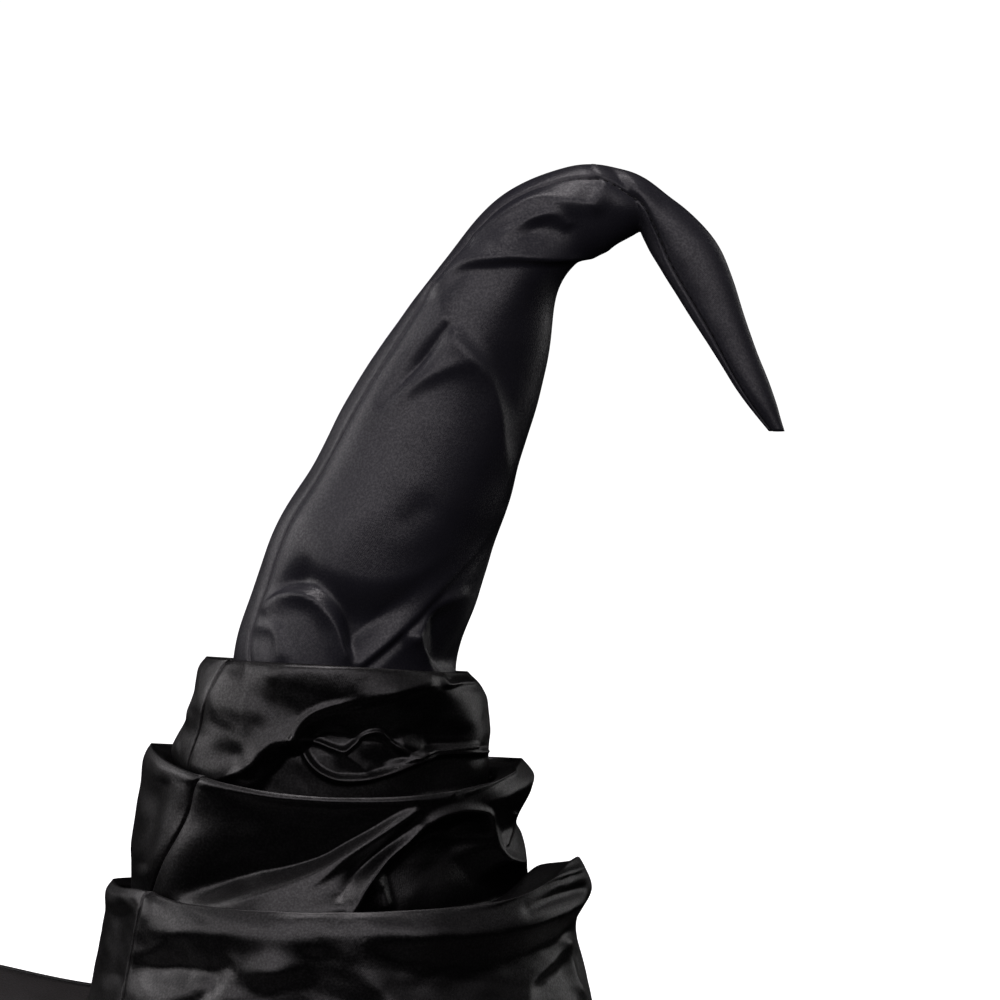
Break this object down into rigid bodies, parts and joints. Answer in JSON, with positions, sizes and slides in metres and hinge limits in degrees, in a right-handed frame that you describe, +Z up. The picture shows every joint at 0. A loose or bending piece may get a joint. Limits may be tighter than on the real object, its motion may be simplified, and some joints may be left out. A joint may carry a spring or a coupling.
{
  "type": "wizard hat",
  "caption": "Black satin wizard hat: a tall cone tucked into stacked tiers, its peak bent over and hanging to one side, sewn to a wide floppy brim with a bound edge.",
  "frame": {"origin": "on the floor, under the middle of the head opening", "axes": "+Z up, -Y the front that the picture shows, +X the side that the peak falls to"},
  "size_m": [0.3758, 0.3758, 0.3359],
  "materials": {
    "satin": "black satin with a soft sheen",
    "brim_cloth": "black satin over a stiff layer, duller than the crown",
    "binding_cloth": "narrow black binding, matt"
  },
  "bodies": {
    "root": {"lower_tier": "satin", "middle_tier": "satin", "top_tier": "satin", "peak": "satin", "brim": "brim_cloth", "brim_binding": "binding_cloth"}
  },
  "joints": []
}
